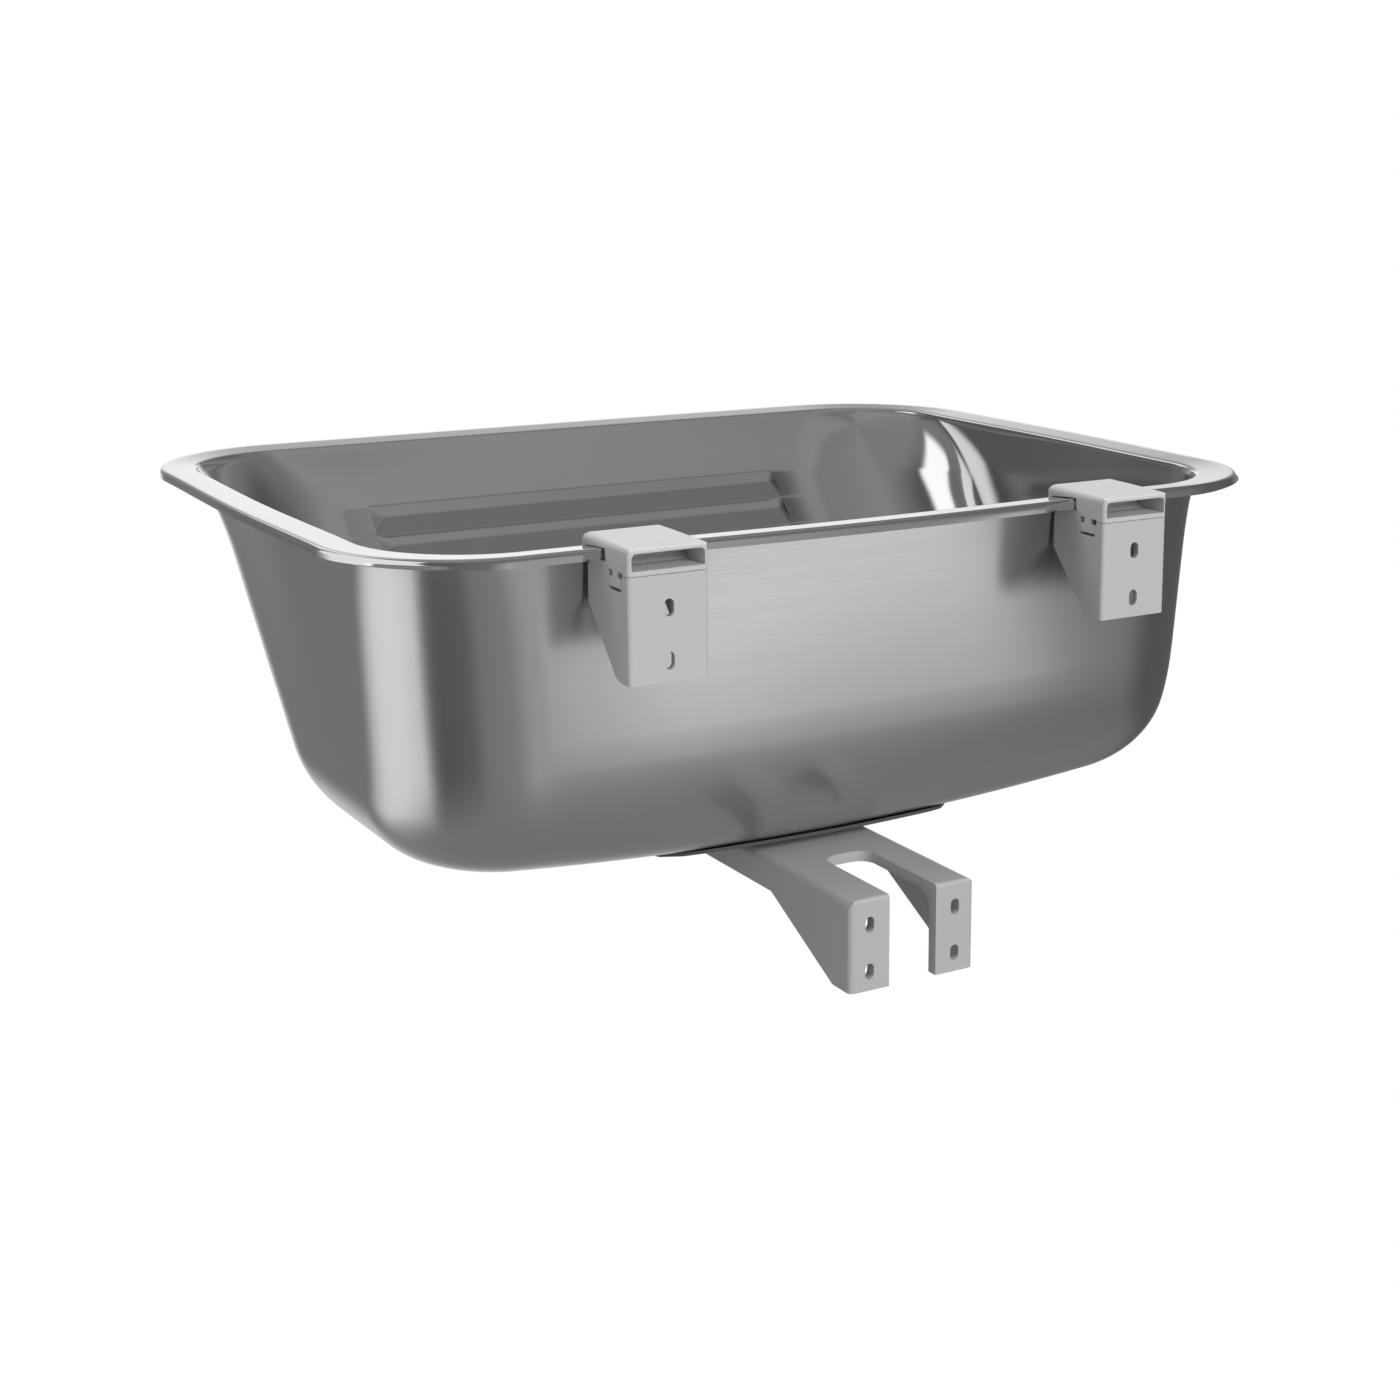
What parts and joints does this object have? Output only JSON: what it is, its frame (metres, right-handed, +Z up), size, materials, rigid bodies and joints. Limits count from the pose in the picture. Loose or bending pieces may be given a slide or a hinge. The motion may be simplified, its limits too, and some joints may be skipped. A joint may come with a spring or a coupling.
{
  "type": "wall-hung utility sink",
  "caption": "Wall-hung stainless steel laundry sink with a washboard on its sloping front wall, clip-on rim brackets and a forked waste bracket.",
  "frame": {"origin": "on the wall plane, at mid-width, level with the top of the rim", "axes": "+X to the right of a user who faces the wall, +Y into the wall, +Z up; the basin lies at negative Y and hangs below the origin"},
  "size_m": [0.549, 0.4405, 0.2434],
  "materials": {
    "brushed_steel": "satin brushed outside, bright inside",
    "polished_steel": "polished",
    "bracket_plastic": "matte light grey",
    "clip_plastic": "matte light grey",
    "waste_plastic": "matte light grey",
    "pad_rubber": "matte black",
    "gasket_rubber": "matte black",
    "plug_rubber": "matte black"
  },
  "bodies": {
    "sink": {"basin": "brushed_steel", "sound_pad": "pad_rubber", "rim_bracket_left": "bracket_plastic", "rim_bracket_right": "bracket_plastic", "waste_bracket": "bracket_plastic", "waste_flange": "polished_steel", "flange_gasket": "gasket_rubber", "body_gasket": "gasket_rubber", "waste_body": "waste_plastic", "waste_screw": "polished_steel"},
    "clip_left": {"rim_clip_left": "clip_plastic"},
    "clip_right": {"rim_clip_right": "clip_plastic"},
    "stopper": {"plug": "plug_rubber"}
  },
  "joints": [
    {"name": "clip_left_lift", "type": "slide", "parent": "sink", "child": "clip_left", "axis": [0, 0, 1], "range_m": [0, 0.03]},
    {"name": "clip_right_lift", "type": "slide", "parent": "sink", "child": "clip_right", "axis": [0, 0, 1], "range_m": [0, 0.03]},
    {"name": "plug_lift", "type": "slide", "parent": "sink", "child": "stopper", "axis": [0, 0, 1], "range_m": [0, 0.12]}
  ]
}
